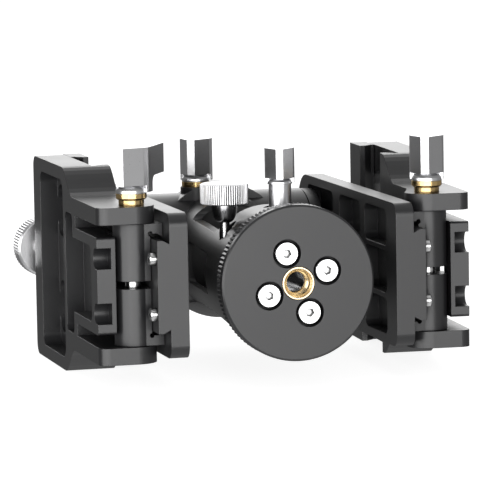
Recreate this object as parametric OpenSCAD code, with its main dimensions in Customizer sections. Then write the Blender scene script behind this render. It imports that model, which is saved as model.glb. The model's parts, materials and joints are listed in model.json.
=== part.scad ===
// Folded double arm gimbal head, lying on its side.
// X runs left to right, Y runs from the tripod plate to the rear, and Z is up.
// The origin is the centre of the tripod plate's outer face, on the panning axis.

/* [Tripod plate] */
// Diameter of the tripod plate
plate_d = 60; // [56:1:64]
// Thickness of the tripod plate with its knurled rim
plate_t = 9; // [8.5:0.5:11]
// Thickness of the smooth front rim
rim_t = 3.4; // [3:0.1:4]
// Width of the groove between the smooth rim and the knurl
rim_groove_w = 0.8; // [0.5:0.1:1.2]
// Depth of the knurl
knurl_depth = 0.5; // [0.3:0.1:0.7]
// Number of teeth round the knurled rim
knurl_count = 110; // [80:2:140]
// Chamfer on the front edge of the plate
rim_chamfer = 0.7; // [0.4:0.1:1]
// Diameter of the circle of plate screws
screw_circle_d = 24.5; // [24:0.5:27]
// Diameter of the counterbores in the plate
counterbore_d = 11; // [10.5:0.1:11.4]
// Depth of the counterbores in the plate
counterbore_depth = 3.4; // [3:0.1:4]
// Diameter of the plate screws' heads
head_d = 9.5; // [9:0.1:10]
// Diameter of the plate screws' threads
thread_d = 5; // [4:0.5:6]
// Width across flats of the plate screws' sockets
socket_w = 3.1; // [2.5:0.1:4]
// Diameter of the tripod thread, three eighths of an inch
tripod_thread_d = 9.525; // [6.35:0.01:9.6]
// Outer diameter of the brass thread bushing
bushing_d = 12.9; // [12:0.1:13.2]
// Turn of the screw pattern about the panning axis
screw_pattern_turn = 20.7; // [0:1:45]

/* [Column] */
// Diameter of the bell behind the tripod plate
bell_d = 57.2; // [55:0.5:58]
// Diameter of the neck
neck_d = 46.4; // [44:0.4:50]
// Where the bell starts to narrow
bell_end_y = 12; // [10:1:20]
// Where the neck reaches its own diameter
neck_start_y = 95; // [88:1:100]
// Wall of the hollow column
column_wall = 2.6; // [2:0.1:4]
// Diameter of the rear flange
flange_ring_d = 55.4; // [52:0.5:58]
// Front face of the rear flange
flange_ring_y = 118; // [114:1:121]
// Thickness of the rear flange
flange_ring_t = 11.5; // [8:0.5:12]
// Height of the flat cut above the panning axis
top_cut_z = 15.4; // [14:0.2:18]
// Near end of the flat cut
top_cut_start_y = 44; // [41:0.5:46]
// Far end of the flat cut
top_cut_end_y = 98; // [92:0.5:99]
// Near end of the side windows
window_start_y = 41.5; // [41:0.5:48]
// Far end of the side windows
window_end_y = 84; // [74:1:92]
// Height of the side windows
window_h = 16.4; // [12:0.4:20]
// Radius of the corners of the cut and the windows
cut_corner_r = 3; // [1.5:0.5:5]

/* [Pan joint] */
// Diameter of the spindle that the head pans on
spindle_d = 30; // [28:0.5:31]
// Diameter of the spindle's flange
spindle_flange_d = 36; // [34:0.5:37]
// Thickness of the spindle's flange
spindle_flange_t = 5; // [4:0.5:5.5]
// Wall of the brass pan bearing
bearing_wall = 2; // [1.5:0.1:2.5]
// Distance of the pan lever from the plate's face
pan_control_y = 25; // [22:0.5:28]
// Distance of the drag knob from the panning axis
drag_x = 21; // [20:0.1:22]
// Distance of the drag knob from the plate's face
drag_y = 30; // [28:0.5:30]

/* [Tilt joint] */
// Distance of the tilt axis from the plate's face
tilt_y = 128; // [122:1:134]
// Diameter of the cross barrel
barrel_d = 46.4; // [42:0.4:48]
// Thickness of the flanges between the barrel and the arms
flange_t = 4.5; // [3:0.5:6]
// Diameter of the tilt shaft
tilt_shaft_d = 34; // [30:0.5:38]
// Bore of the tilt shaft
tilt_shaft_bore = 20; // [12:1:22]
// Place of the tilt lever to the left of the panning axis
tilt_lever_x = 9; // [4:0.5:12]
// Gap between the barrel and the flanges
barrel_gap = 0.5; // [0.3:0.1:0.8]

/* [Arms] */
// Distance between the arms' inner faces
arm_span = 82.4; // [78:0.4:88]
// Thickness of an arm without its rail
arm_t = 7.2; // [6:0.1:8]
// Height of an arm
arm_h = 55.8; // [52:0.4:60]
// Near end of the arms
arm_start_y = 7.4; // [5:0.2:10]
// Reach of the arms behind the tilt axis
arm_tail = 20; // [18:0.5:26]
// Corner radius at the near end of the arms
arm_near_r = 5; // [3:0.5:8]
// Corner radius at the far end of the arms
arm_far_r = 13; // [8:0.5:18]
// Height of the dovetail rail at its widest
rail_h = 35.6; // [32:0.2:38]
// Thickness of the dovetail rail
rail_t = 4.8; // [4:0.1:6]
// Depth of the pockets on the inner side of an arm
pocket_depth = 5.6; // [3:0.2:6]
// Width of the ribs between the rows of pockets
rib_w = 1.8; // [1.6:0.1:3.2]
// Width of the rim round the pockets
pocket_rim = 3.5; // [3:0.1:5]
// Corner radius of the pockets
pocket_r = 3; // [1.5:0.25:3.5]

/* [Hinge clamps] */
// Distance of the hinge pins from the outer face of the rails
hinge_off = 5.8; // [5.4:0.1:6.8]
// Distance of the hinge pins from the plate's face
hinge_y = 24.4; // [23.5:0.1:25]
// Diameter of the hinge pins
pin_d = 6; // [5:0.1:7]
// Diameter of the split hinge barrel
clamp_barrel_d = 15; // [14:0.1:15.2]
// Height of the split hinge barrel
clamp_h = 46.8; // [46:0.2:46.8]
// Gap between the two halves of the barrel
clamp_gap = 3; // [2:0.2:4]
// Length of the clamps along the rail
clamp_l = 27; // [22:0.5:34]
// Diameter of the stop screws' heads
stop_screw_d = 5.2; // [4.5:0.1:5.4]
// Height of the stop screws' heads
stop_screw_h = 2.6; // [1.6:0.1:2.8]

/* [Side frames] */
// Thickness of the quick-release clamps
frame_t = 19.2; // [19:0.1:21]
// Gap between a rail and the quick-release clamp beside it
frame_gap = 1.8; // [1.7:0.1:2.8]
// Front of the ears
ear_start_y = 15.8; // [15.6:0.1:16.2]
// Height over the ears
ear_h = 60.4; // [60.4:0.1:63]
// Thickness of an ear
ear_t = 6.6; // [6.4:0.1:6.6]
// Radius of the ear round the hinge pin
ear_r = 8.6; // [8.2:0.1:8.8]
// Near face of the quick-release clamp
block_start_y = 77; // [76:0.5:80]
// Far face of the quick-release clamp
block_end_y = 135.5; // [133:0.5:140]
// Height of the quick-release clamp
block_h = 81.2; // [78:0.4:86]
// Corner radius of the quick-release clamp
block_r = 4.5; // [3:0.5:6]
// Depth of the pockets in the frames' outer faces
frame_pocket_depth = 7.3; // [6:0.1:7.4]
// Thickness of the clamp's top and bottom walls
frame_wall = 5.2; // [4:0.2:7]
// Thickness of the clamp's far wall
far_wall = 13; // [11:0.5:14]
// Thickness of the web between the two pockets
web_t = 3.3; // [2.5:0.1:4.5]
// Height of the notched bracket
bracket_h = 37.4; // [35:0.2:39]
// Thickness of the notched bracket's arms
bracket_arm_t = 4; // [3:0.1:5]
// Front face of the notched bracket
bracket_start_y = 18.8; // [18.6:0.1:19.5]
// Thickness of the notched bracket's front wall
bracket_wall = 10.4; // [9.8:0.1:11]
// Radius of the notches
notch_r = 4; // [3:0.1:4.2]
// Height of the notches above and below the panning axis
notch_z = 10.6; // [10:0.1:11.4]
// How far the left frame stands open at rest, in degrees
left_rest_turn = 0; // [0:0.5:4]
// How far the right frame stands open at rest, in degrees
right_rest_turn = 2.75; // [0:0.25:4]

/* [Quick clamps] */
// Width of the clamp channel between its lips
channel_w = 34.4; // [32:0.2:36]
// Depth of the clamp channel
channel_depth = 7; // [6:0.1:7.4]
// Depth of the undercut behind each lip
undercut = 3.2; // [2.5:0.1:3.6]
// Thickness of the tip of each lip
lip_tip = 2.2; // [1.8:0.1:2.6]
// Thickness of the jaw
jaw_l = 17.2; // [15:0.2:18]
// Diameter of the jaw screws
jaw_screw_d = 5; // [4:0.5:6]

/* [Levers] */
// Height of the hinge levers
lever_h = 17.5; // [15:0.5:20]
// Widest part of the hinge levers
lever_w = 13.4; // [12:0.2:15]
// Length of the levers' wings from the pivot
lever_reach = 23; // [18:0.5:26]
// Length of the levers' tails from the pivot
lever_tail = 8.2; // [7:0.1:9]
// Height of the step under the wings
wing_step = 6.2; // [4:0.2:7]
// Size of the pan lever against the other levers
small_lever_scale = 0.86; // [0.8:0.02:1]
// Direction of the left lever's wing in degrees from the X axis
left_lever_turn = 46; // [30:1:90]
// Direction of the right lever's wing in degrees from the X axis
right_lever_turn = 69; // [60:1:120]
// Direction of the pan lever's wing in degrees from the X axis
pan_lever_turn = 75; // [45:1:120]
// Direction of the tilt lever's wing in degrees from the X axis
tilt_lever_turn = 64; // [45:1:120]
// Diameter of the brass thrust washers
washer_d = 11.9; // [11:0.1:13]
// Thickness of the brass thrust washers
washer_t = 2.4; // [1.8:0.1:3]
// Diameter of the brass bushes in the ears
bush_d = 9.8; // [9:0.1:10.5]
// Height of the bushes above the ears
bush_stand = 2.2; // [1.5:0.1:3]
// Height of the levers' domed feet
dome_h = 3.3; // [2.5:0.1:4]
// Diameter of the pan lever's post
post_d = 8.7; // [8:0.1:9.4]

/* [Knobs] */
// Diameter of the jaw knobs
jaw_knob_d = 24.6; // [22:0.2:26]
// Thickness of the jaw knobs
jaw_knob_t = 11.4; // [9:0.2:13]
// Gap between the clamp and the jaw knob, held by the screw's collar
jaw_knob_gap = 7.5; // [6.5:0.5:9]
// Diameter of the drag knob
drag_knob_d = 18.8; // [16:0.2:20]
// Thickness of the drag knob
drag_knob_t = 8; // [6:0.2:9]
// Number of flutes on the jaw knobs
jaw_knob_flutes = 64; // [40:2:80]
// Number of flutes on the drag knob
drag_knob_flutes = 44; // [30:2:56]
// Depth of the flutes
flute_depth = 0.45; // [0.3:0.05:0.6]

/* [Fits] */
// Radial clearance of pins and shafts that turn
run_fit = 0.05; // [0.02:0.01:0.08]
// Clearance of faces that slide past each other
slide_gap = 0.2; // [0.15:0.05:0.3]
// Clearance of screws and pieces that stand in larger holes
loose_gap = 0.3; // [0.2:0.05:0.5]

/* [Hidden] */
$fn = 64;
over = 1;
hair = 0.01;
fine_fn = 32;

SIDES = ["left", "right"];
LEFT_NODES = [
    "left_arm", "left_flange", "left_arm_screws", "left_stop_screws", "left_clamp_upper",
    "left_clamp_lower", "left_clamp_dowels", "left_hinge_pin", "left_pin_bush",
    "left_thrust_washer", "left_lever", "left_frame",
    "left_jaw", "left_jaw_nut", "left_jaw_screw", "left_jaw_knob"
];
RIGHT_NODES = [
    "right_arm", "right_flange", "right_arm_screws", "right_stop_screws", "right_clamp_upper",
    "right_clamp_lower", "right_clamp_dowels", "right_hinge_pin",
    "right_pin_bush", "right_thrust_washer", "right_lever",
    "right_frame", "right_jaw", "right_jaw_nut", "right_jaw_screw", "right_jaw_knob"
];

// Colours of the real finishes
black_finish = "#26272a";
silver_finish = "#c9cbce";
steel_finish = "#b4b7bb";
brass_finish = "#c9a04a";
gloss_finish = "#17181a";

// Helpers that lay a profile or a turned piece along an axis
module along_x() {
    rotate([0, 90, 0]) children();
}
module along_y() {
    rotate([-90, 0, 0]) children();
}
// A drawing in Y and Z, extruded from x1 to x2
module slab_x(x1, x2) {
    translate([x1, 0, 0]) rotate([90, 0, 90]) linear_extrude(height = x2 - x1) children();
}
// A drawing in X and Y, extruded from z1 to z2
module slab_z(z1, z2) {
    translate([0, 0, z1]) linear_extrude(height = z2 - z1) children();
}
// A drawing in X and minus Z, extruded from y1 to y2
module slab_y(y1, y2) {
    translate([0, y1, 0]) rotate([-90, 0, 0]) linear_extrude(height = y2 - y1) children();
}
module rod_x(x1, x2, d) {
    translate([x1, 0, 0]) along_x() cylinder(h = x2 - x1, d = d);
}
module rod_y(y1, y2, d) {
    translate([0, y1, 0]) along_y() cylinder(h = y2 - y1, d = d);
}
module rod_z(z1, z2, d) {
    translate([0, 0, z1]) cylinder(h = z2 - z1, d = d);
}
// A rectangle with its own radius at each pair of corners: r1 at low x, r2 at high x
module soft_rect(x1, x2, y1, y2, r1, r2) {
    square_from(x1 + r1, x2 - r2, y1, y2);
    square_from(x1, x1 + r1, y1 + r1, y2 - r1);
    square_from(x2 - r2, x2, y1 + r2, y2 - r2);
    for (y = [y1 + r1, y2 - r1]) translate([x1 + r1, y]) circle(r = r1);
    for (y = [y1 + r2, y2 - r2]) translate([x2 - r2, y]) circle(r = r2);
}
module square_from(x1, x2, y1, y2) {
    translate([x1, y1]) square([x2 - x1, y2 - y1]);
}
// A ring of shallow teeth, as a star shaped outline
function tooth_points(r, depth, count) = [
    for (i = [0 : 2 * count - 1])
        let (rr = i % 2 == 0 ? r : r - depth, a = 180 * i / count)
        [rr * cos(a), rr * sin(a)]
];
// Points on an arc round a centre, from one angle to another
function arc(cx, cy, r, a1, a2, n) = [
    for (i = [0 : n]) let (a = a1 + (a2 - a1) * i / n) [cx + r * cos(a), cy + r * sin(a)]
];
// A smooth step from 0 to 1
function smooth(t) = t * t * (3 - 2 * t);
function clamp01(t) = max(0, min(1, t));

// Places across the head, from the arms outward and inward
arm_in_x = arm_span / 2;
arm_out_x = arm_in_x + arm_t;
rail_out_x = arm_out_x + rail_t;
shaft_end_x = arm_in_x - flange_t;
barrel_l = 2 * (shaft_end_x - barrel_gap);
hinge_x = rail_out_x + hinge_off;
frame_in_x = rail_out_x + frame_gap;
frame_out_x = frame_in_x + frame_t;

// Base
plate_r = plate_d / 2;
groove_depth = 1.1;
knurl_start = rim_t + rim_groove_w;
head_t = counterbore_depth - slide_gap;
screw_l = spindle_flange_t + plate_t - counterbore_depth;
socket_depth = 1.9;
screw_angles = [for (k = [0 : 3]) screw_pattern_turn + 90 * k];
spindle_start = plate_t;
spindle_neck = spindle_start + spindle_flange_t;
spindle_groove_depth = 1.2;
spindle_groove_w = 11;
plate_gap = 0.4;
column_start = plate_t + plate_gap;
bearing_start = spindle_neck + slide_gap;
bearing_tail = 9.6;
bearing_end = pan_control_y + bearing_tail;
ring_t = 4;
spindle_end = bearing_end + slide_gap;
ring_lip = 3;
ring_d = spindle_d + 2 * ring_lip;
spigot_d = spindle_d - 2 * ring_lip;
ring_slots = 4;
ring_slot_w = 4;
ring_slot_depth = 1.6;

module plate_holes() {
    rod_y(-over, plate_t + over, bushing_d);
    for (a = screw_angles) rotate([0, -a, 0]) translate([screw_circle_d / 2, 0, 0]) {
        rod_y(-over, counterbore_depth, counterbore_d);
        rod_y(-over, plate_t + over, thread_d + 2 * loose_gap);
    }
}
module base_plate() {
    color(black_finish) difference() {
        union() {
            along_y() rotate_extrude($fn = 128) polygon([
                [0, 0], [plate_r - rim_chamfer, 0], [plate_r, rim_chamfer], [plate_r, rim_t],
                [plate_r - groove_depth, rim_t], [plate_r - groove_depth, plate_t], [0, plate_t]
            ]);
            slab_y(knurl_start, plate_t) polygon(tooth_points(plate_r, knurl_depth, knurl_count));
        }
        plate_holes();
    }
}
module thread_bushing() {
    color(brass_finish) difference() {
        rod_y(0, plate_t, bushing_d);
        rod_y(-over, plate_t + over, tripod_thread_d);
    }
}
// A button head screw that points along Y, with its head's face at the origin
module button_screw(head_diameter, head_height, length, diameter, socket) {
    crown = head_height * 0.16;
    difference() {
        union() {
            along_y() rotate_extrude($fn = 64) polygon([
                [0, 0], [head_diameter / 2 - crown, 0], [head_diameter / 2, crown],
                [head_diameter / 2, head_height], [0, head_height]
            ]);
            rod_y(head_height - hair, head_height + length, diameter);
        }
        translate([0, -over, 0]) along_y() cylinder(h = over + socket_depth, d = socket / cos(30), $fn = 6);
    }
}
module base_screws() {
    color(steel_finish) for (a = screw_angles) rotate([0, -a, 0])
        translate([screw_circle_d / 2, counterbore_depth - head_t, 0])
        button_screw(head_d, head_t, screw_l - slide_gap, thread_d, socket_w);
}
module pan_spindle() {
    r1 = spindle_flange_d / 2;
    r2 = spindle_d / 2;
    mid = pan_control_y;
    half = spindle_groove_w / 2;
    color(steel_finish) difference() {
        along_y() rotate_extrude($fn = 128) polygon([
            [0, spindle_start], [r1, spindle_start], [r1, spindle_neck], [r2, spindle_neck], [r2, mid - half],
            [r2 - spindle_groove_depth, mid - half + spindle_groove_depth],
            [r2 - spindle_groove_depth, mid + half - spindle_groove_depth],
            [r2, mid + half], [r2, spindle_end], [spigot_d / 2, spindle_end],
            [spigot_d / 2, spindle_end + ring_t + over], [0, spindle_end + ring_t + over]
        ]);
        rod_y(spindle_start - over, spindle_end + ring_t + 2 * over, tripod_thread_d + 2 * loose_gap);
        for (a = screw_angles) rotate([0, -a, 0]) translate([screw_circle_d / 2, 0, 0])
            rod_y(spindle_start - over, spindle_neck + slide_gap, thread_d);
    }
}
module spindle_ring() {
    color(steel_finish) difference() {
        rod_y(spindle_end, spindle_end + ring_t, ring_d);
        rod_y(spindle_end - over, spindle_end + ring_t + over, spigot_d);
        for (k = [1 : ring_slots]) rotate([0, 360 * k / ring_slots, 0])
            slab_z(-ring_slot_w / 2, ring_slot_w / 2) square_from(
                ring_d / 2 - ring_slot_depth, ring_d, spindle_end - over, spindle_end + ring_t + over);
    }
}

// Column
bell_r = bell_d / 2;
neck_r = neck_d / 2;
bearing_d = spindle_d + 2 * run_fit + 2 * bearing_wall;
cavity_start = bearing_end;
cavity_end = tilt_y - barrel_d / 2 + column_wall;
bell_steps = 14;
post_hole_d = post_d + 2 * run_fit;
shoe_d = 7.6;
shoe_bottom = spindle_d / 2 - spindle_groove_depth + slide_gap;
shoe_l = 8;
shoe_top = shoe_bottom + shoe_l;
drag_screw_d = 4;
drag_screw_bottom = -7;
tilt_screw_d = 5;
bell_power = 1.3;
function bell_share_at(y) = clamp01((y - bell_end_y) / (neck_start_y - bell_end_y));
function bell_radius(y) = neck_r + (bell_r - neck_r) * pow(1 - bell_share_at(y), bell_power);
pan_pad_d = 13;
pan_pad_z = sqrt(pow(bell_radius(pan_control_y + pan_pad_d / 2), 2) - pow(pan_pad_d / 2, 2));
drag_pad_d = 9;
drag_pad_z = top_cut_z;
tilt_pad_d = 12.4;
tilt_pad_sink = 1.5;
tilt_pad_z = flange_ring_d / 2 - tilt_pad_sink;
tilt_lever_y = flange_ring_y + flange_ring_t / 2;
bell_share = [for (i = [0 : bell_steps]) i / bell_steps];
bell_ys = [for (s = bell_share) bell_end_y + s * (neck_start_y - bell_end_y)];
cavity_ys = [for (s = bell_share) cavity_start + s * (neck_start_y - cavity_start)];

module column_outside() {
    along_y() rotate_extrude($fn = 96) polygon(concat(
        [[0, column_start], [bell_r, column_start]],
        [for (y = bell_ys) [bell_radius(y), y]],
        [[neck_r, flange_ring_y], [0, flange_ring_y]]
    ));
    rod_y(flange_ring_y - hair, flange_ring_y + flange_ring_t, flange_ring_d);
    translate([0, tilt_y, 0]) rod_x(-barrel_l / 2, barrel_l / 2, barrel_d);
    translate([-tilt_lever_x, tilt_lever_y, 0]) rod_z(0, tilt_pad_z, tilt_pad_d);
}
module column_inside() {
    rod_y(column_start - over, bearing_start, spindle_flange_d + 2 * loose_gap);
    rod_y(column_start, cavity_start, bearing_d);
    along_y() rotate_extrude($fn = 96) polygon(concat(
        [[0, cavity_start]],
        [for (y = cavity_ys) [bell_radius(y) - column_wall, y]],
        [[neck_r - column_wall, cavity_end - neck_r / 3], [0, cavity_end - neck_r / 3]]
    ));
    translate([0, tilt_y, 0]) rod_x(-barrel_l / 2 - over, barrel_l / 2 + over, tilt_shaft_d + 2 * run_fit);
}
module column() {
    reach = bell_d;
    color(black_finish) difference() {
        column_outside();
        column_inside();
        slab_x(-reach, reach) soft_rect(
            top_cut_start_y, top_cut_end_y, top_cut_z, reach, cut_corner_r, cut_corner_r);
        slab_x(-reach, reach) soft_rect(
            window_start_y, window_end_y, -window_h / 2, window_h / 2, cut_corner_r / 2, cut_corner_r / 2);
        translate([0, pan_control_y, 0]) {
            rod_z(0, reach, shoe_d);
            rod_z(shoe_top, reach, post_hole_d);
            rod_z(pan_pad_z, reach, pan_pad_d);
        }
        translate([-drag_x, drag_y, 0]) {
            rod_z(drag_screw_bottom - over, reach, drag_screw_d + 2 * run_fit);
            rod_z(drag_pad_z, reach, drag_pad_d);
        }
        translate([-tilt_lever_x, tilt_lever_y, 0]) {
            rod_z(0, reach, tilt_screw_d + 2 * run_fit);
            rod_z(tilt_pad_z, reach, tilt_pad_d);
        }
    }
}
module pan_bearing() {
    color(brass_finish) difference() {
        rod_y(bearing_start, bearing_end, bearing_d);
        rod_y(bearing_start - over, bearing_end + over, spindle_d + 2 * run_fit);
        translate([0, pan_control_y, 0]) rod_z(0, bearing_d, shoe_d);
    }
}
module pan_shoe() {
    color(brass_finish) translate([0, pan_control_y, 0]) rod_z(shoe_bottom, shoe_top, shoe_d);
}

// Levers
lever_apex_w = 3.1;
lever_tip_w = 3.4;
lever_root = 6.6;
wing_fillet = 3;
wing_tip_r = 1.4;
hub_lift = 0.3;
// Outline of a lever in plan, with its pivot at the origin and its wing along X
module lever_outline(s) {
    w = lever_w * s;
    tail = lever_tail * s;
    reach = lever_reach * s;
    apex = lever_apex_w * s / 2;
    tip = lever_tip_w * s / 2;
    polygon([
        [-tail, -apex], [-tail * 0.08, -w * 0.46], [tail * 0.25, -w / 2], [tail * 0.55, -w * 0.47],
        [reach - tip * 0.5, -tip], [reach, -tip * 0.5], [reach, tip * 0.5], [reach - tip * 0.5, tip],
        [tail * 0.55, w * 0.47], [tail * 0.25, w / 2], [-tail * 0.08, w * 0.46], [-tail, apex]
    ]);
}
// What is cut away under the wing, drawn in X and Z
module wing_undercut(s) {
    step = wing_step * s;
    root = lever_root * s;
    far = lever_reach * s;
    r = wing_fillet * s;
    translate([0, lever_w, 0]) rotate([90, 0, 0]) linear_extrude(height = 2 * lever_w) polygon(concat(
        [[root, -over], [far + over, -over], [far + over, step + wing_tip_r]],
        arc(far - wing_tip_r, step + wing_tip_r, wing_tip_r, 0, -90, 4),
        arc(root + r, step - r, r, 90, 180, 5)
    ));
}
// A faceted lever with its foot at the origin
module lever(s, h, foot_d, foot_h, bore) {
    difference() {
        union() {
            difference() {
                slab_z(hub_lift, h) lever_outline(s);
                wing_undercut(s);
                slab_z(-over, foot_h * 0.9) square_from(-lever_reach, lever_tail * s * 0.12, -lever_w, lever_w);
            }
            rotate_extrude($fn = 64) polygon(concat(
                [[0, 0], [foot_d / 2, 0], [foot_d / 2, foot_h * 0.15]],
                [for (a = [15 : 15 : 90]) [foot_d / 2 * cos(a * 0.75), foot_h * (0.15 + 0.85 * sin(a))]],
                [[0, foot_h]]
            ));
        }
        rod_z(-over, h * 0.7, bore);
    }
}

// Pan lever, its post and its collar
collar_d = 9.6;
collar_h = 2.4;
post_rise = 9.7;
post_top = pan_pad_z + post_rise;
pan_lever_h = 13.8;
pan_stud_d = 5;
module pan_post() {
    color(silver_finish) translate([0, pan_control_y, 0]) {
        rod_z(shoe_top + slide_gap, post_top, post_d);
        rod_z(post_top - hair, post_top + pan_lever_h * 0.6, pan_stud_d);
    }
}
module pan_lever() {
    color(silver_finish) translate([0, pan_control_y, post_top]) rotate([0, 0, pan_lever_turn])
        lever(small_lever_scale, pan_lever_h, collar_d, collar_h, pan_stud_d);
}

// Drag knob over its bowl shaped collar
drag_bowl_d = 8.6;
drag_bowl_h = 6.2;
drag_stub_d = 5.4;
drag_rise = 13.1;
drag_bowl_top = drag_pad_z + drag_rise;
module drag_collar() {
    r1 = drag_stub_d / 2;
    r2 = drag_bowl_d / 2;
    base = drag_bowl_top - drag_bowl_h;
    bottom = drag_pad_z + slide_gap;
    color(gloss_finish) translate([-drag_x, drag_y, 0]) difference() {
        rotate_extrude($fn = 64) polygon(concat(
            [[0, bottom], [r1, bottom], [r1, base]],
            [for (a = [10 : 10 : 90]) [r1 + (r2 - r1) * sin(a), base + (drag_bowl_h - over) * (1 - cos(a))]],
            [[r2, drag_bowl_top], [0, drag_bowl_top]]
        ));
        rod_z(0, drag_bowl_top + over, drag_screw_d);
    }
}
module drag_knob() {
    color(silver_finish) translate([-drag_x, drag_y, drag_bowl_top])
        fluted_knob(drag_knob_d, drag_knob_t, drag_knob_flutes, drag_screw_d);
}
module drag_screw() {
    color(steel_finish) translate([-drag_x, drag_y, 0])
        rod_z(drag_screw_bottom, drag_bowl_top + drag_knob_t * 0.6, drag_screw_d);
}
// A knob with straight flutes that stands on the origin, with chamfered faces and a blind bore
module fluted_knob(d, t, flutes, bore) {
    bevel = d * 0.045;
    difference() {
        intersection() {
            linear_extrude(height = t) polygon(tooth_points(d / 2, flute_depth, flutes));
            rotate_extrude($fn = 96) polygon([
                [0, 0], [d / 2 - bevel, 0], [d / 2 + bevel, 2 * bevel], [d / 2 + bevel, t - 2 * bevel],
                [d / 2 - bevel, t], [0, t]
            ]);
        }
        rod_z(-over, t * 0.6, bore);
        difference() {
            rod_z(t - bevel * 0.6, t + over, d * 0.72);
            rod_z(0, t + over, d * 0.6);
        }
    }
}

// Tilt lever on its brass washer
tilt_washer_t = 2.1;
tilt_lever_z = tilt_pad_z + tilt_washer_t;
module tilt_washer() {
    color(brass_finish) translate([-tilt_lever_x, tilt_lever_y, 0]) difference() {
        rod_z(tilt_pad_z, tilt_lever_z, washer_d * 0.95);
        rod_z(0, tilt_lever_z + over, tilt_screw_d + 2 * run_fit);
    }
}
module tilt_lever() {
    color(silver_finish) translate([-tilt_lever_x, tilt_lever_y, tilt_lever_z + run_fit])
        rotate([0, 0, tilt_lever_turn]) lever(1, lever_h, washer_d * 0.95, dome_h, tilt_screw_d);
}
module tilt_screw() {
    color(steel_finish) translate([-tilt_lever_x, tilt_lever_y, 0])
        rod_z(tilt_shaft_top + slide_gap, tilt_lever_z + lever_h * 0.6, tilt_screw_d);
}
tilt_shaft_top = sqrt(pow(tilt_shaft_d / 2, 2) - pow(tilt_y - tilt_lever_y - tilt_screw_d / 2, 2)) + slide_gap;

// Tilt shaft, flanges and arms
arm_end_y = tilt_y + arm_tail;
arm_screw_circle = (tilt_shaft_d + tilt_shaft_bore) / 2;
arm_screw_d = 4;
arm_screw_head_d = 7.4;
arm_screw_head_t = 3.2;
arm_screw_angles = [45, 135, 225, 315];
module tilt_shaft() {
    color(steel_finish) translate([0, tilt_y, 0]) difference() {
        rod_x(-shaft_end_x, shaft_end_x, tilt_shaft_d);
        rod_x(-shaft_end_x - over, shaft_end_x + over, tilt_shaft_bore);
        for (side = [-1, 1]) for (a = arm_screw_angles) rotate([a, 0, 0])
            translate([side * shaft_end_x, arm_screw_circle / 2, 0]) rotate([0, 90, 0])
            cylinder(h = 2 * arm_screw_thread, d = arm_screw_d, center = true);
    }
}
arm_screw_thread = 9;
flange_inset = 0.3;
module flange_x() {
    color(black_finish) translate([0, tilt_y, 0]) difference() {
        rod_x(shaft_end_x, arm_in_x, barrel_d - 2 * flange_inset);
        for (a = arm_screw_angles) rotate([a, 0, 0]) translate([0, arm_screw_circle / 2, 0])
            rod_x(0, arm_out_x, arm_screw_d + 2 * loose_gap);
    }
}
module arm_screws_x() {
    color(steel_finish) translate([0, tilt_y, 0]) for (a = arm_screw_angles) rotate([a, 0, 0])
        translate([rail_out_x - slide_gap, arm_screw_circle / 2, 0]) rotate([0, 0, 90])
        button_screw(arm_screw_head_d, arm_screw_head_t,
            rail_out_x - slide_gap - arm_screw_head_t - shaft_end_x + arm_screw_thread - over,
            arm_screw_d, socket_w);
}
stop_screw_in = 1.8;
stop_screw_y = hinge_y - (frame_out_x - hinge_x) + stop_screw_in;
stop_screw_z = notch_z;
stop_screw_thread_d = 3;
stop_screw_thread_l = 5;
module stop_screws_x() {
    color(steel_finish) for (z = [-stop_screw_z, stop_screw_z])
        translate([rail_out_x + stop_screw_h, stop_screw_y, z]) rotate([0, 0, 90])
        button_screw(stop_screw_d, stop_screw_h, stop_screw_thread_l, stop_screw_thread_d, socket_w * 0.8);
}
rail_top = rail_h / 2;
rail_flat = 2.2;
rail_drop = 1.4;
rail_neck = rail_top - rail_drop;
// Section of the dovetail rail in X and minus Z, grown by g outward and by h in height
module rail_section(g, h) {
    polygon([
        [arm_out_x - over, -rail_neck - h], [arm_out_x, -rail_neck - h],
        [rail_out_x - rail_flat, -rail_top - h],
        [rail_out_x + g, -rail_top - h], [rail_out_x + g, rail_top + h], [rail_out_x - rail_flat, rail_top + h],
        [arm_out_x, rail_neck + h], [arm_out_x - over, rail_neck + h]
    ]);
}
// Pockets of an arm: two sets of three between the end and the barrel, and a third set beside the barrel
row_z = arm_h / 6;
row_out = arm_h / 2 - pocket_rim;
pocket_rows = [
    [-row_out, -row_z - rib_w / 2], [-row_z + rib_w / 2, row_z - rib_w / 2], [row_z + rib_w / 2, row_out]
];
pocket_lead = 13;
pocket_under = 9.6;
pocket_land = 1.1;
centre_land = 1.4;
pocket_tail = 5;
near_rib = 5.9;
far_rib = 9.3;
pocket_start = arm_start_y + pocket_lead;
far_start = tilt_y - barrel_d / 2 - pocket_under;
pocket_len = (far_start - pocket_start - near_rib - far_rib) / 2;
far_row_in = arm_screw_circle / 2 + pocket_land;
module arm_pockets() {
    for (y = [pocket_start, pocket_start + pocket_len + near_rib]) for (row = pocket_rows)
        soft_rect(y, y + pocket_len, row[0], row[1], pocket_r, pocket_r);
    soft_rect(far_start, tilt_y + pocket_tail, far_row_in, row_out, pocket_r, pocket_r);
    soft_rect(far_start, tilt_y + pocket_tail, -row_out, -far_row_in, pocket_r, pocket_r);
    soft_rect(
        far_start, tilt_y - barrel_d / 2 - centre_land,
        rib_w / 2 - row_z, row_z - rib_w / 2, pocket_r, pocket_r);
}
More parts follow.
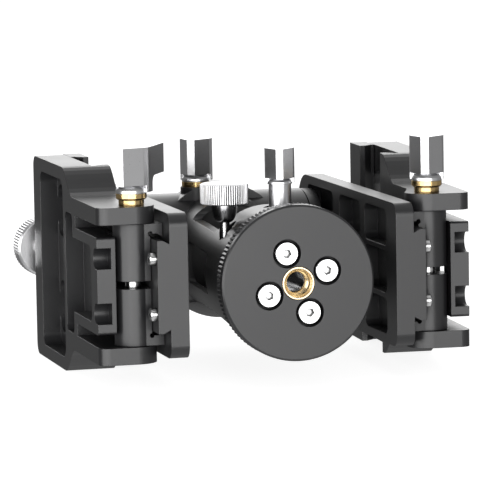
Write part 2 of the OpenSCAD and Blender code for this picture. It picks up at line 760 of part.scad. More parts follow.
module arm_x() {
    color(black_finish) difference() {
        union() {
            slab_x(arm_in_x, arm_out_x)
                soft_rect(arm_start_y, arm_end_y, -arm_h / 2, arm_h / 2, arm_near_r, arm_far_r);
            slab_y(arm_start_y, arm_end_y - arm_far_r / 2) rail_section(0, 0);
        }
        slab_x(arm_in_x - over, arm_in_x + pocket_depth) arm_pockets();
        translate([0, tilt_y, 0]) for (a = arm_screw_angles) rotate([a, 0, 0])
            translate([0, arm_screw_circle / 2, 0]) {
                rod_x(arm_in_x - over, rail_out_x + over, arm_screw_d + 2 * loose_gap);
                rod_x(
                    rail_out_x - arm_screw_head_t - slide_gap, rail_out_x + over,
                    arm_screw_head_d + 2 * loose_gap);
            }
        for (z = [-stop_screw_z, stop_screw_z]) translate([0, stop_screw_y, z])
            rod_x(rail_out_x - stop_screw_thread_l - slide_gap, rail_out_x + over, stop_screw_thread_d);
    }
}

// Hinge clamps
clamp_step = 0.7;
clamp_front = hinge_y - clamp_barrel_d / 2 + clamp_step;
clamp_top = clamp_h / 2;
lip_in_x = arm_out_x + slide_gap;
relief_r = 0.9;
slot_rise = clamp_gap / 2 + slide_gap;
// Half of a hinge clamp, above the gap
module clamp_half_x() {
    color(black_finish) difference() {
        union() {
            slab_z(clamp_gap / 2, clamp_top) translate([hinge_x, hinge_y]) circle(d = clamp_barrel_d);
            slab_z(clamp_gap / 2, clamp_top) square_from(lip_in_x, hinge_x, clamp_front, clamp_front + clamp_l);
        }
        slab_y(clamp_front - over, clamp_front + clamp_l + over) rail_section(slide_gap, slot_rise);
        translate([rail_out_x + slide_gap, 0, rail_top + slot_rise])
            rod_y(clamp_front - over, clamp_front + clamp_l + over, 2 * relief_r);
        translate([hinge_x, hinge_y, 0]) rod_z(-over, clamp_top + over, pin_d + 2 * run_fit);
        for (y = dowel_ys) translate([dowel_x, y, 0]) rod_z(0, dowel_half, dowel_d);
    }
}

// Steel dowels that keep the two halves of a clamp in line
dowel_d = 3;
dowel_half = 8;
dowel_off = 3;
dowel_x = hinge_x - dowel_off;
dowel_lead = 4;
dowel_pitch = 7;
dowel_ys = [clamp_front + clamp_l - dowel_lead - dowel_pitch, clamp_front + clamp_l - dowel_lead];
module clamp_dowels_x() {
    color(steel_finish) for (y = dowel_ys) translate([dowel_x, y, 0]) rod_z(-dowel_half, dowel_half, dowel_d);
}

// Hinge pin, bush and washer
ear_top = ear_h / 2;
ear_in = ear_top - ear_t;
bush_top = ear_top + bush_stand;
washer_top = bush_top + washer_t;
pin_top = washer_top + lever_h * 0.55;
pin_head_d = 9;
pin_head_t = 2.4;
module hinge_pin_x() {
    color(steel_finish) translate([hinge_x, hinge_y, 0]) {
        rod_z(-ear_top + slide_gap, pin_top, pin_d);
        rod_z(-ear_top + slide_gap, -ear_top + slide_gap + pin_head_t, pin_head_d);
    }
}
module pin_bush_x() {
    color(brass_finish) translate([hinge_x, hinge_y, 0]) difference() {
        union() {
            rod_z(ear_in, bush_top, bush_d);
        }
        rod_z(0, bush_top + over, pin_d);
    }
}
module thrust_washer_x() {
    r = washer_d / 2;
    bevel = washer_t * 0.25;
    color(brass_finish) translate([hinge_x, hinge_y, 0]) difference() {
        rotate_extrude($fn = 64) polygon([
            [0, bush_top], [r - bevel, bush_top], [r, bush_top + bevel], [r, washer_top], [0, washer_top]
        ]);
        rod_z(0, washer_top + over, pin_d);
    }
}
module hinge_lever_x(turn) {
    color(silver_finish) translate([hinge_x, hinge_y, washer_top + run_fit]) rotate([0, 0, turn])
        lever(1, lever_h, washer_d, dome_h, pin_d + 2 * run_fit);
}

// Side frames
curve_steps = 9;
shoulder_in = 3;
shoulder_out = 15;
shoulder_end_y = block_start_y + shoulder_in;
shoulder_start_y = block_start_y - shoulder_out;
pocket_x = frame_out_x - frame_pocket_depth;
floor_t = 2.5;
window1_y2 = block_end_y - far_wall;
window_lead = 2;
window1_y1 = block_start_y + window_lead;
web_y1 = window1_y1 - web_t;
wall_t = 5;
wall_y2 = shoulder_start_y;
wall_y1 = wall_y2 - wall_t;
bracket_top = bracket_h / 2;
cavity_top = bracket_top - bracket_arm_t;
bracket_back = bracket_start_y + bracket_wall;
lip_w = 6;
channel_floor_x = frame_in_x + channel_depth;
channel_y1 = block_start_y + lip_w;
channel_y2 = channel_y1 + channel_w;
ear_corner_r = 4;
ear_taper = 15.6;
ear_taper_y = hinge_y + ear_taper;
seat_lead = 5;
edge_r = 1;
notch_w = 5.6;
notch_reach = 2.5;
jaw_axis_in = 6.6;
jaw_axis_x = frame_out_x - jaw_axis_in;
jaw_axis_z = 1.5;
lobe_rib = 18;
lobe_margin = 10.6;
lobe_z1 = lobe_rib / 2;
lobe_z2 = block_h / 2 - lobe_margin;
lobe_mid_z = (lobe_z1 + lobe_z2) / 2;
lobe_half_z = (lobe_z2 - lobe_z1) / 2;
lobe_l = 18.5;
lobe_y1 = window1_y2 - lobe_l;
lobe_r = 6;
function shoulder(i) = let (t = i / curve_steps) [
    shoulder_start_y + t * (shoulder_end_y - shoulder_start_y),
    ear_top + (block_h / 2 - ear_top) * smooth(t)
];
upper_outline = concat(
    [[wall_y1, ear_top]],
    [for (i = [0 : curve_steps]) shoulder(i)],
    arc(block_end_y - block_r, block_h / 2 - block_r, block_r, 90, 0, 6)
);
last_point = len(upper_outline) - 1;
lower_outline = [for (i = [last_point : -1 : 0]) [upper_outline[i][0], -upper_outline[i][1]]];
block_outline = concat(upper_outline, lower_outline);
// Cavity in the far wall, where the jaw's nut travels on the screw
nut_half = 6;
nut_t = 5;
nut_seat = 1.5;
nut_play = 0.6;
nut_recess = 1.6;
nut_cover = 1.8;
nut_wall = 1.2;
nut_rear_wall = 2.4;
keeper_d = 7;
keeper_t = 1.2;
nut_out_x = frame_out_x - nut_cover;
nut_y1 = window1_y2 + nut_wall;
nut_y2 = block_end_y - nut_rear_wall;
// Ear in plan
module ear_plan() {
    translate([hinge_x, hinge_y]) circle(r = ear_r);
    polygon([
        [hinge_x, ear_start_y], [frame_out_x - ear_corner_r, ear_start_y],
        [frame_out_x - ear_corner_r, wall_y2],
        [frame_in_x, wall_y2], [frame_in_x, ear_taper_y], [hinge_x - ear_r, hinge_y], [hinge_x, hinge_y]
    ]);
    square_from(frame_out_x - ear_corner_r - hair, frame_out_x, ear_start_y + ear_corner_r, wall_y2);
    translate([frame_out_x - ear_corner_r, ear_start_y + ear_corner_r]) circle(r = ear_corner_r);
}
// Pocket between the web and the notched bracket, with a finger up and down
module cavity_outline() {
    soft_rect(bracket_back, web_y1, -cavity_top, cavity_top, cut_corner_r, cut_corner_r);
    soft_rect(wall_y2, web_y1, -ear_in, ear_in, cut_corner_r, cut_corner_r);
}
module notch_outline() {
    for (z = [-notch_z, notch_z]) {
        translate([bracket_start_y + notch_reach, z]) circle(r = notch_r);
        square_from(bracket_start_y - over, bracket_start_y + notch_reach, z - notch_r, z + notch_r);
    }
}
module channel_section(y2) {
    polygon([
        [frame_in_x - over, channel_y1], [frame_in_x + lip_tip, channel_y1],
        [frame_in_x + lip_tip + undercut, channel_y1 - undercut], [channel_floor_x, channel_y1 - undercut],
        [channel_floor_x, y2], [frame_in_x - over, y2]
    ]);
}
module frame_x() {
    tall = block_h;
    color(black_finish) difference() {
        union() {
            slab_x(frame_in_x, frame_out_x) polygon(block_outline);
            slab_z(ear_in, ear_top) ear_plan();
            slab_z(-ear_top, -ear_in) ear_plan();
            slab_x(pocket_x - floor_t, frame_out_x)
                square_from(ear_taper_y - seat_lead, wall_y2, -bracket_top, bracket_top);
            slab_x(pocket_x, frame_out_x)
                soft_rect(bracket_start_y, wall_y2, -bracket_top, bracket_top, edge_r, edge_r);
        }
        slab_x(pocket_x, frame_out_x + over)
            soft_rect(
                window1_y1, window1_y2, frame_wall - block_h / 2, block_h / 2 - frame_wall, block_r, block_r);
        slab_x(pocket_x, frame_out_x + over) cavity_outline();
        slab_x(frame_out_x - notch_w, frame_out_x + over) notch_outline();
        slab_z(-tall, tall) channel_section(block_end_y + over);
        for (z = [-lobe_mid_z, lobe_mid_z]) slab_x(frame_in_x, pocket_x + over)
            soft_rect(lobe_y1, window1_y2, z - lobe_half_z, z + lobe_half_z, lobe_r, lobe_r);
        slab_x(frame_in_x, nut_out_x) nut_outline(nut_y1, nut_y2, nut_half + loose_gap);
        translate([jaw_axis_x, 0, jaw_axis_z])
            rod_y(nut_y2 - over, block_end_y + over, jaw_screw_d + 2 * run_fit);
        translate([hinge_x, hinge_y, 0]) {
            rod_z(0, ear_top + over, bush_d);
            rod_z(-ear_top - over, 0, pin_d);
            rod_z(-ear_top - over, -ear_top + slide_gap + pin_head_t, pin_head_d + 2 * loose_gap);
        }
    }
}
// The jaw, with the nut that stands in a pocket of its outer face
jaw_start = channel_y2;
jaw_end = jaw_start + jaw_l;
jaw_face_x = channel_floor_x - slide_gap;
nut_in_x = jaw_face_x - nut_seat;
nut_start = nut_y1 + nut_play;
nut_end = nut_start + nut_t;
module nut_outline(y1, y2, half) {
    square_from(y1, y2, jaw_axis_z - half, jaw_axis_z + half);
}
module jaw_x() {
    z = block_h / 2;
    color(black_finish) difference() {
        slab_z(-z, z) polygon([
            [frame_in_x, jaw_start], [frame_in_x + lip_tip, jaw_start],
            [frame_in_x + lip_tip + undercut, jaw_start + undercut], [jaw_face_x, jaw_start + undercut],
            [jaw_face_x, jaw_end], [frame_in_x, jaw_end]
        ]);
        slab_x(nut_in_x, jaw_face_x + over) nut_outline(nut_start, nut_end, nut_half);
    }
}
module jaw_nut_x() {
    color(steel_finish) difference() {
        slab_x(nut_in_x, nut_out_x - loose_gap) nut_outline(nut_start, nut_end, nut_half);
        translate([jaw_axis_x, 0, jaw_axis_z]) {
            rod_y(nut_start - over, nut_end + over, jaw_screw_d + 2 * run_fit);
            rod_y(nut_end - nut_recess, nut_end + over, keeper_d + 2 * loose_gap);
        }
    }
}
knob_start = block_end_y + jaw_knob_gap;
jaw_collar_d = 10;
module jaw_screw_x() {
    color(steel_finish) translate([jaw_axis_x, 0, jaw_axis_z]) {
        rod_y(nut_y1 + slide_gap, knob_start + jaw_knob_t * 0.6, jaw_screw_d);
        rod_y(block_end_y + slide_gap, knob_start, jaw_collar_d);
        rod_y(nut_y2 - slide_gap - keeper_t, nut_y2 - slide_gap, keeper_d);
    }
}
module jaw_knob_x() {
    color(silver_finish) translate([jaw_axis_x, knob_start, jaw_axis_z]) along_y()
        fluted_knob(jaw_knob_d, jaw_knob_t, jaw_knob_flutes, jaw_screw_d);
}

// Left pieces are the right ones mirrored, and each frame swings about its own pin
module swing_right() {
    translate([hinge_x, hinge_y, 0]) rotate([0, 0, -right_rest_turn])
        translate([-hinge_x, -hinge_y, 0]) children();
}
module swing_left() {
    mirror([1, 0, 0]) translate([hinge_x, hinge_y, 0]) rotate([0, 0, -left_rest_turn])
        translate([-hinge_x, -hinge_y, 0]) children();
}
module to_left() {
    mirror([1, 0, 0]) children();
}
module lower() {
    mirror([0, 0, 1]) children();
}

base_plate();
thread_bushing();
base_screws();
pan_spindle();
spindle_ring();
column();
pan_bearing();
pan_shoe();
pan_lever();
pan_post();
drag_knob();
drag_collar();
drag_screw();
tilt_lever();
tilt_washer();
tilt_screw();
tilt_shaft();
to_left() arm_x();  // left_arm
to_left() flange_x();  // left_flange
to_left() arm_screws_x();  // left_arm_screws
to_left() stop_screws_x();  // left_stop_screws
to_left() clamp_half_x();  // left_clamp_upper
to_left() lower() clamp_half_x();  // left_clamp_lower
to_left() clamp_dowels_x();  // left_clamp_dowels
to_left() hinge_pin_x();  // left_hinge_pin
to_left() pin_bush_x();  // left_pin_bush
to_left() thrust_washer_x();  // left_thrust_washer
to_left() hinge_lever_x(180 - left_lever_turn);  // left_lever
swing_left() frame_x();  // left_frame
swing_left() jaw_x();  // left_jaw
swing_left() jaw_nut_x();  // left_jaw_nut
swing_left() jaw_screw_x();  // left_jaw_screw
swing_left() jaw_knob_x();  // left_jaw_knob
arm_x();  // right_arm
flange_x();  // right_flange
arm_screws_x();  // right_arm_screws
stop_screws_x();  // right_stop_screws
clamp_half_x();  // right_clamp_upper
lower() clamp_half_x();  // right_clamp_lower
clamp_dowels_x();  // right_clamp_dowels
hinge_pin_x();  // right_hinge_pin
pin_bush_x();  // right_pin_bush
thrust_washer_x();  // right_thrust_washer
hinge_lever_x(right_lever_turn);  // right_lever
swing_right() frame_x();  // right_frame
swing_right() jaw_x();  // right_jaw
swing_right() jaw_nut_x();  // right_jaw_nut
swing_right() jaw_screw_x();  // right_jaw_screw
swing_right() jaw_knob_x();  // right_jaw_knob
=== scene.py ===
"""Looks for the folded double arm gimbal head: finishes, thread, drag knob, studio and camera."""
import json
import math

import bmesh
import bpy
from mathutils import Matrix, Vector


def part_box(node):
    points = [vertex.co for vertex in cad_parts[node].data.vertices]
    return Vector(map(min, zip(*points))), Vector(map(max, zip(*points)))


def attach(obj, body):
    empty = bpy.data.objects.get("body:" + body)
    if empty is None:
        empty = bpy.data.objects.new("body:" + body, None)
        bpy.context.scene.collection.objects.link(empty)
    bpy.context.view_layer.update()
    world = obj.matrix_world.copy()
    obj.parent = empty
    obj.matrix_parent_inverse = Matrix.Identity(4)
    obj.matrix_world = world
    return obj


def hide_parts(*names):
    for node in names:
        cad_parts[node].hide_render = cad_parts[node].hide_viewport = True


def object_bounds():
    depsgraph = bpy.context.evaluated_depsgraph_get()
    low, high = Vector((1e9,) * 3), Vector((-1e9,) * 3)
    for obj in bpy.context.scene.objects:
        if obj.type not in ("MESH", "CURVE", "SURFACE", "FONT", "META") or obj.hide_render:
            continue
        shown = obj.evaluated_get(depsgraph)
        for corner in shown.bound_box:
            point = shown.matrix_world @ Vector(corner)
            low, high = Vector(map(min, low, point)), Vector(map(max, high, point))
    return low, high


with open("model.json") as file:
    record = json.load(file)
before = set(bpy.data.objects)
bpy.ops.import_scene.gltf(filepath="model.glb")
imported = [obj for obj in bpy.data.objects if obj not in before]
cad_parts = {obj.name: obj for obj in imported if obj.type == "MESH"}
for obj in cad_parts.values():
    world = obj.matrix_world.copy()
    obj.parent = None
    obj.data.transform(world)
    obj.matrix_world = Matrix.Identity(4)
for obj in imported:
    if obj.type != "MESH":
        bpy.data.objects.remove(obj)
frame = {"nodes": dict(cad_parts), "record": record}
CAD_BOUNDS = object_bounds()
MM = 0.001

# Finishes
GRAIN_DEPTH, POLISH_DEPTH = 0.00003, 0.00002    # height of the bump, in metres
HOLLOW_SAMPLES, EDGE_SAMPLES = 8, 6

# Thread of the brass bushing, in millimetres; the shares are of one pitch or one turn
BORE_R, CREST_R, THREAD_PITCH = 4.78, 4.05, 1.5875
RIM_CHAMFER, RIM_WIDTH, MOUTH_DEPTH = 0.25, 0.8, 1.2
THREAD_START, THREAD_END_GAP, ROOT_SINK = 2.0, 1.0, 0.02
ROOT_SHARE, CREST_SHARE, RUN_OUT_SHARE, LEAST_HEIGHT = 0.46, 0.07, 0.4, 0.02
THREAD_STEPS = 48

# Drag knob and its bowl, in millimetres
KNOB_TEETH, FLUTE_DEPTH, KNOB_BEVEL = 64, 0.42, 0.40
FLUTE_FORM = (0.0, 0.15, 1.0, 0.15)             # shares of the depth, four points to a tooth
BOWL_R, BOWL_H, BOWL_LIP, BOWL_FULLNESS, BOWL_STEPS = 5.0, 7.2, 0.6, 0.8, 10
FOOT_R, SCREW_R = 1.6, 1.3
NECK_DROP, SKIRT_DROP, SKIRT_FLARE = 2.6, 3.8, 0.5

TURN_STEPS = 96
SHARP_ANGLE = 28                                # degrees, above which an edge stays sharp

# Studio: world brightness by direction, then panels that look at one target
FLOOR_SIZE, FLOOR_GREY, FLOOR_ROUGHNESS, FLOOR_GLOW = 60.0, 0.45, 0.8, 0.88
WORLD_BASE = 0.17
LOBE_CORE = 0.45                                # share of a lobe's spread that is fully bright
LOBES = [                                       # direction, spread in degrees, level
    ((0.25, 0.90, 0.60), 42, 0.9),
    ((0.0, 0.1, 1.0), 60, 0.35),
    ((0.0, -0.2, -1.0), 70, 0.45),
    ((0.64, -0.77, 0.0), 36, 0.25),
    ((0.98, 0.0, 0.0), 45, 0.10),
]
TARGET = (0.0, 0.06, 0.0)

# Camera, as fitted to the photo: angles in radians, offset of the object in millimetres
FOCAL_PX, PHOTO_WIDTH, SENSOR_WIDTH = 3854.836, 500, 36.0
YAW, TILT_DOWN, ROLL = 0.256777662, 0.115776646, -0.0174993018
OFFSET = Vector((18.5103602, 12.6801291, 1466.06949)) * MM
CLIP_START, CLIP_END = 0.05, 100


# ---------------------------------------------------------------- node helpers
def new_material(name):
    mat = bpy.data.materials.new(name)
    mat.use_nodes = True
    nodes, links = mat.node_tree.nodes, mat.node_tree.links
    nodes.clear()
    out = nodes.new("ShaderNodeOutputMaterial")
    bsdf = nodes.new("ShaderNodeBsdfPrincipled")
    links.new(bsdf.outputs["BSDF"], out.inputs["Surface"])
    return mat, nodes, links, bsdf


def noise(nodes, links, scale, detail, rough=0.5):
    """Noise in the object's own coordinates; the scale is per metre."""
    place = nodes.new("ShaderNodeTexCoord")
    n = nodes.new("ShaderNodeTexNoise")
    n.inputs["Scale"].default_value = scale
    n.inputs["Detail"].default_value = detail
    n.inputs["Roughness"].default_value = rough
    links.new(place.outputs["Object"], n.inputs["Vector"])
    return n.outputs["Fac"]


def ramp(nodes, links, fac, lo, hi, a=0.0, b=1.0):
    """Maps a..b to lo..hi as a value."""
    m = nodes.new("ShaderNodeMapRange")
    m.inputs["From Min"].default_value = a
    m.inputs["From Max"].default_value = b
    m.inputs["To Min"].default_value = lo
    m.inputs["To Max"].default_value = hi
    links.new(fac, m.inputs["Value"])
    return m.outputs["Result"]


def colour_mix(nodes, links, fac, a, b):
    """Mixes colour a with b, which is a colour or another node's output."""
    m = nodes.new("ShaderNodeMix")
    m.data_type = "RGBA"
    m.inputs["A"].default_value = (*a, 1)
    if isinstance(b, tuple):
        m.inputs["B"].default_value = (*b, 1)
    else:
        links.new(b, m.inputs["B"])
    links.new(fac, m.inputs["Factor"])
    return m.outputs["Result"]


def openness(nodes, links, reach, closed, free):
    """0 deep in a socket or slot, 1 out in the open."""
    ao = nodes.new("ShaderNodeAmbientOcclusion")
    ao.samples = HOLLOW_SAMPLES
    ao.inputs["Distance"].default_value = reach
    return ramp(nodes, links, ao.outputs["AO"], 0.0, 1.0, closed, free)


def painted_hollow_shade(nodes, links, colour, reach, dark):
    """Painted shade: darkens the colour in sockets and slots, more the less open they are."""
    return colour_mix(nodes, links, openness(nodes, links, reach, closed=0.45, free=0.95), dark, colour)


def bump(nodes, links, height, strength, distance, bsdf, edge_radius=None):
    """Fine relief, over lightly broken edges where a radius is given."""
    b = nodes.new("ShaderNodeBump")
    b.inputs["Strength"].default_value = strength
    b.inputs["Distance"].default_value = distance
    links.new(height, b.inputs["Height"])
    if edge_radius is not None:
        edge = nodes.new("ShaderNodeBevel")
        edge.samples = EDGE_SAMPLES
        edge.inputs["Radius"].default_value = edge_radius
        links.new(edge.outputs["Normal"], b.inputs["Normal"])
    links.new(b.outputs["Normal"], bsdf.inputs["Normal"])


# ---------------------------------------------------------------- materials
def black_anodised():
    mat, nodes, links, bsdf = new_material("black_anodised")
    grain = noise(nodes, links, scale=2600, detail=4.0)
    cloud = noise(nodes, links, scale=45, detail=3.0)
    tone = colour_mix(nodes, links, cloud, (0.011, 0.011, 0.012), (0.019, 0.019, 0.020))
    links.new(tone, bsdf.inputs["Base Color"])
    links.new(ramp(nodes, links, cloud, 0.30, 0.38), bsdf.inputs["Roughness"])
    # painted shade on reflections: the specular level falls where the surface is less open, in slots and
    # recesses
    free = openness(nodes, links, reach=7 * MM, closed=0.2, free=0.95)
    links.new(ramp(nodes, links, free, 0.20, 0.66), bsdf.inputs["Specular IOR Level"])
    bump(nodes, links, grain, 0.06, GRAIN_DEPTH, bsdf, edge_radius=0.32 * MM)
    return mat


def silver_anodised(name, knurled):
    """A knurled piece gets painted shade in its flutes, and has edges of its own."""
    mat, nodes, links, bsdf = new_material(name)
    grain = noise(nodes, links, scale=2300, detail=4.0, rough=0.7)
    cloud = noise(nodes, links, scale=90, detail=3.0)
    bsdf.inputs["Metallic"].default_value = 1.0
    tone = colour_mix(nodes, links, cloud, (0.66, 0.66, 0.67), (0.73, 0.73, 0.74))
    if knurled:
        # painted shade: the colour darkens in the flutes, where the knob is less open
        tone = painted_hollow_shade(nodes, links, tone, 0.5 * MM, dark=(0.12, 0.12, 0.12))
    links.new(tone, bsdf.inputs["Base Color"])
    links.new(ramp(nodes, links, grain, 0.24, 0.34), bsdf.inputs["Roughness"])
    bump(nodes, links, grain, 0.22, GRAIN_DEPTH, bsdf, edge_radius=None if knurled else 0.18 * MM)
    return mat


def bright_metal(name, tones, cloud_scale, hollow, rough, edge_radius):
    """Turned steel or brass: tones and rough are from and to, hollow is the reach and colour of painted
    shade in sockets and slots.
    """
    mat, nodes, links, bsdf = new_material(name)
    cloud = noise(nodes, links, scale=cloud_scale, detail=3.0)
    bsdf.inputs["Metallic"].default_value = 1.0
    tone = colour_mix(nodes, links, cloud, *tones)
    # painted shade: the base colour darkens towards the hollow colour in sockets and slots
    links.new(painted_hollow_shade(nodes, links, tone, *hollow), bsdf.inputs["Base Color"])
    links.new(ramp(nodes, links, cloud, *rough), bsdf.inputs["Roughness"])
    bump(nodes, links, cloud, 0.10, POLISH_DEPTH, bsdf, edge_radius)
    return mat


def brass(name, *tones):
    # painted shade of 1.2 mm reach darkens the brass in its hollows
    return bright_metal(name, tones, 300, (1.2 * MM, (0.10, 0.06, 0.02)), (0.16, 0.28), 0.25 * MM)


def stainless():
    tones = (0.72, 0.72, 0.72), (0.84, 0.84, 0.84)
    # painted shade of 1.6 mm reach darkens the steel in screw sockets
    return bright_metal("stainless", tones, 700, (1.6 * MM, (0.05, 0.05, 0.05)), (0.16, 0.26), 0.15 * MM)


def gloss_black():
    mat, nodes, links, bsdf = new_material("gloss_black")
    cloud = noise(nodes, links, scale=120, detail=3.0)
    bsdf.inputs["Metallic"].default_value = 1.0
    tone = colour_mix(nodes, links, cloud, (0.30, 0.30, 0.31), (0.36, 0.36, 0.37))
    links.new(tone, bsdf.inputs["Base Color"])
    links.new(ramp(nodes, links, cloud, 0.20, 0.27), bsdf.inputs["Roughness"])
    return mat


MATERIALS = {
    "black_anodised": black_anodised(),
    "silver_anodised": silver_anodised("silver_anodised", knurled=False),
    "stainless": stainless(),
    "polished_brass": brass("polished_brass", (0.62, 0.43, 0.18), (0.76, 0.56, 0.28)),
    "gloss_black": gloss_black(),
}


# ---------------------------------------------------------------- CAD nodes
SLOT_OF = {s["node"]: s["material_slot"] for s in frame["record"]["subparts"]}
for name, obj in frame["nodes"].items():
    obj.data.materials.clear()
    obj.data.materials.append(MATERIALS[SLOT_OF[name]])
    for poly in obj.data.polygons:
        poly.material_index = 0


# ---------------------------------------------------------------- mesh helpers, in millimetres
def skin(bm, rings, closed):
    """Quads between neighbouring rings; the run of rings is closed, or capped at both ends."""
    for a, b in zip(rings, rings[1:] + (rings[:1] if closed else [])):
        for k in range(len(a)):
            n = (k + 1) % len(a)
            bm.faces.new((a[k], a[n], b[n], b[k]))
    if not closed:
        bm.faces.new(rings[0][::-1])
        bm.faces.new(rings[-1])


def turned(bm, profile, place):
    """A closed profile of radius and height, turned round an axis."""
    rings = []
    for i in range(TURN_STEPS):
        a = 2 * math.pi * i / TURN_STEPS
        rings.append([bm.verts.new(place(r, a, t)) for r, t in profile])
    skin(bm, rings, closed=True)


def finish_piece(bm, name, body, node, material):
    """Makes the mesh an object that stands for a CAD node."""
    bmesh.ops.recalc_face_normals(bm, faces=bm.faces)
    mesh = bpy.data.meshes.new(name)
    bm.to_mesh(mesh)
    bm.free()
    piece = bpy.data.objects.new(name, mesh)
    bpy.context.scene.collection.objects.link(piece)
    mesh.materials.append(material)
    for poly in mesh.polygons:
        poly.use_smooth = True
    mesh.set_sharp_from_angle(angle=math.radians(SHARP_ANGLE))
    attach(piece, body)
    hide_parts(node)


# ---------------------------------------------------------------- brass bushing with its thread
def along_y(r, a, y):
    return (r * math.cos(a) * MM, y * MM, r * math.sin(a) * MM)


def thread_ridge(bm, r_root, r_crest, y1, y2):
    """An inward ridge that winds round the Y axis and fades out at both ends."""
    turns = (y2 - y1) / THREAD_PITCH
    count = int(turns * THREAD_STEPS)
    run_out = THREAD_STEPS * RUN_OUT_SHARE
    root, crest = THREAD_PITCH * ROOT_SHARE, THREAD_PITCH * CREST_SHARE
    rings = []
    for i in range(count + 1):
        t = i / count
        a = 2 * math.pi * turns * t
        y = y1 + (y2 - y1) * t
        fade = min(1.0, i / run_out, (count - i) / run_out)
        rc = r_root - (r_root - r_crest) * max(fade, LEAST_HEIGHT)
        section = ((r_root, -root), (rc, -crest), (rc, crest), (r_root, root))
        rings.append([bm.verts.new(along_y(r, -a, y + dy)) for r, dy in section])
    skin(bm, rings, closed=False)


lo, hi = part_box("thread_bushing")
bush_r, bush_l = (hi[0] - lo[0]) / 2 / MM, (hi[1] - lo[1]) / MM
bm = bmesh.new()
turned(bm, [
    (bush_r, bush_l), (bush_r, RIM_CHAMFER), (bush_r - RIM_CHAMFER, 0.0),
    (bush_r - RIM_WIDTH, 0.0), (BORE_R, MOUTH_DEPTH), (BORE_R, bush_l),
], along_y)
thread_ridge(bm, BORE_R + ROOT_SINK, CREST_R, THREAD_START, bush_l - THREAD_END_GAP)
bushing_brass = brass("bushing_brass", (0.70, 0.56, 0.36), (0.84, 0.72, 0.50))
finish_piece(bm, "threaded_bushing", "base", "thread_bushing", bushing_brass)


# ---------------------------------------------------------------- drag knob and the bowl under it
lo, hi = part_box("drag_knob")
knob_x, knob_y = (lo[0] + hi[0]) / 2 / MM, (lo[1] + hi[1]) / 2 / MM
knob_r, knob_low, knob_high = (hi[0] - lo[0]) / 2 / MM, lo[2] / MM, hi[2] / MM
collar_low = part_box("drag_collar")[0][2] / MM


def on_knob_axis(r, a, z):
    return ((knob_x + r * math.cos(a)) * MM, (knob_y + r * math.sin(a)) * MM, z * MM)


def knurled_knob(bm, r, z1, z2):
    """Straight fine flutes round a knob with bevelled faces."""
    points = KNOB_TEETH * len(FLUTE_FORM)
    face_r = r - FLUTE_DEPTH - KNOB_BEVEL
    rings = []
    for radius, z, fluted in (
        (face_r, z1, False), (r, z1 + KNOB_BEVEL, True), (r, z2 - KNOB_BEVEL, True), (face_r, z2, False),
    ):
        ring = []
        for i in range(points):
            cut = FLUTE_DEPTH * FLUTE_FORM[i % len(FLUTE_FORM)] if fluted else 0.0
            ring.append(bm.verts.new(on_knob_axis(radius - cut, 2 * math.pi * i / points, z)))
        rings.append(ring)
    skin(bm, rings, closed=False)


bm = bmesh.new()
knurled_knob(bm, knob_r, knob_low, knob_high)
knurled_silver = silver_anodised("knurled_silver", knurled=True)
finish_piece(bm, "knurled_drag_knob", "drag_knob", "drag_knob", knurled_silver)

bowl_low, skirt_r = knob_low - BOWL_H, FOOT_R + SKIRT_FLARE
bowl = [(SCREW_R, knob_low), (BOWL_R, knob_low), (BOWL_R, knob_low - BOWL_LIP)]
for step in range(1, BOWL_STEPS + 1):
    a = math.radians(90 / BOWL_STEPS * step)
    r = FOOT_R + (BOWL_R - FOOT_R) * math.cos(a) ** BOWL_FULLNESS
    bowl.append((r, knob_low - BOWL_LIP - (BOWL_H - BOWL_LIP) * math.sin(a)))
bowl += [
    (FOOT_R, bowl_low - NECK_DROP), (skirt_r, bowl_low - SKIRT_DROP),
    (skirt_r, collar_low), (SCREW_R, collar_low),
]
bm = bmesh.new()
turned(bm, bowl, on_knob_axis)
finish_piece(bm, "drag_bowl", "drag_knob", "drag_collar", MATERIALS["gloss_black"])


# ---------------------------------------------------------------- studio
s, floor_z = FLOOR_SIZE / 2, CAD_BOUNDS[0][2]
floor_mesh = bpy.data.meshes.new("floor")
floor_mesh.from_pydata(
    [(-s, -s, floor_z), (s, -s, floor_z), (s, s, floor_z), (-s, s, floor_z)], [], [(0, 1, 2, 3)])
floor = bpy.data.objects.new("floor", floor_mesh)
bpy.context.scene.collection.objects.link(floor)
paper, _, _, paper_bsdf = new_material("floor_paper")
paper_bsdf.inputs["Base Color"].default_value = (FLOOR_GREY, FLOOR_GREY, FLOOR_GREY, 1)
paper_bsdf.inputs["Roughness"].default_value = FLOOR_ROUGHNESS
paper_bsdf.inputs["Specular IOR Level"].default_value = 0.0
paper_bsdf.inputs["Emission Color"].default_value = (1, 1, 1, 1)
paper_bsdf.inputs["Emission Strength"].default_value = FLOOR_GLOW
floor.data.materials.append(paper)
floor.visible_glossy = False
floor.visible_diffuse = False
floor.visible_shadow = False

world = bpy.data.worlds.new("studio")
bpy.context.scene.world = world
world.use_nodes = True
wn, wl = world.node_tree.nodes, world.node_tree.links
bg = wn["Background"]
bg.inputs["Strength"].default_value = 1.0
wcoord = wn.new("ShaderNodeTexCoord")


def lobe(direction, spread, level):
    """A soft bright patch of the studio, by direction."""
    dot = wn.new("ShaderNodeVectorMath")
    dot.operation = "DOT_PRODUCT"
    dot.inputs[1].default_value = Vector(direction).normalized()
    wl.new(wcoord.outputs["Generated"], dot.inputs[0])
    m = wn.new("ShaderNodeMapRange")
    m.interpolation_type = "SMOOTHSTEP"
    m.inputs["From Min"].default_value = math.cos(math.radians(spread))
    m.inputs["From Max"].default_value = math.cos(math.radians(spread * LOBE_CORE))
    m.inputs["To Min"].default_value = 0.0
    m.inputs["To Max"].default_value = level
    wl.new(dot.outputs["Value"], m.inputs["Value"])
    return m.outputs["Result"]


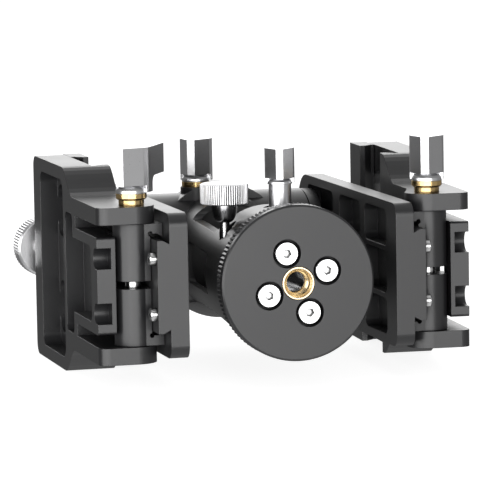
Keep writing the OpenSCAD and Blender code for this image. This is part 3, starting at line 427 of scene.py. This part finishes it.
total = None
for direction, spread, level in LOBES:
    add = wn.new("ShaderNodeMath")
    add.operation = "ADD"
    wl.new(lobe(direction, spread, level), add.inputs[0])
    if total is None:
        add.inputs[1].default_value = WORLD_BASE
    else:
        wl.new(total, add.inputs[1])
    total = add.outputs["Value"]
wl.new(total, bg.inputs["Color"])


def panel(name, location, size_x, size_y, radiance):
    """A rectangular light that looks at the target and that the camera doesn't see."""
    light = bpy.data.lights.new(name, "AREA")
    light.shape = "RECTANGLE"
    light.size = size_x
    light.size_y = size_y
    light.energy = radiance * math.pi * size_x * size_y
    obj = bpy.data.objects.new(name, light)
    obj.location = location
    direction = Vector(TARGET) - Vector(location)
    obj.rotation_euler = direction.to_track_quat("-Z", "Y").to_euler()
    bpy.context.scene.collection.objects.link(obj)
    obj.visible_camera = False


def polar(azimuth, distance, z):
    a = math.radians(azimuth)
    return (distance * math.cos(a), distance * math.sin(a), z)


panel("left_panel", polar(211, 1.5, 0.1), 1.5, 1.1, 3.4)
panel("front_panel", polar(262, 2.4, 0.15), 2.4, 1.5, 4.0)
panel("back_top", (0.3, 1.5, 0.52), 1.6, 0.8, 1.5)


# ---------------------------------------------------------------- camera
def camera():
    level = Vector((math.sin(YAW), math.cos(YAW), 0))
    side = Vector((math.cos(YAW), -math.sin(YAW), 0))
    upright = Vector((0, 0, 1))
    forward = level * math.cos(TILT_DOWN) - upright * math.sin(TILT_DOWN)
    tilted_up = level * math.sin(TILT_DOWN) + upright * math.cos(TILT_DOWN)
    right = side * math.cos(ROLL) + tilted_up * math.sin(ROLL)
    up = tilted_up * math.cos(ROLL) - side * math.sin(ROLL)
    centre = -(right * OFFSET.x - up * OFFSET.y + forward * OFFSET.z)
    data = bpy.data.cameras.new("camera")
    data.sensor_fit = "HORIZONTAL"
    data.sensor_width = SENSOR_WIDTH
    data.lens = FOCAL_PX / PHOTO_WIDTH * SENSOR_WIDTH
    data.clip_start = CLIP_START
    data.clip_end = CLIP_END
    cam = bpy.data.objects.new("camera", data)
    m = Matrix.Identity(4)
    for i in range(3):
        m[i][0], m[i][1], m[i][2], m[i][3] = right[i], up[i], -forward[i], centre[i]
    cam.matrix_world = m
    bpy.context.scene.collection.objects.link(cam)
    bpy.context.scene.camera = cam


camera()
bpy.context.scene.view_settings.view_transform = "Standard"
bpy.context.scene.view_settings.look = "None"
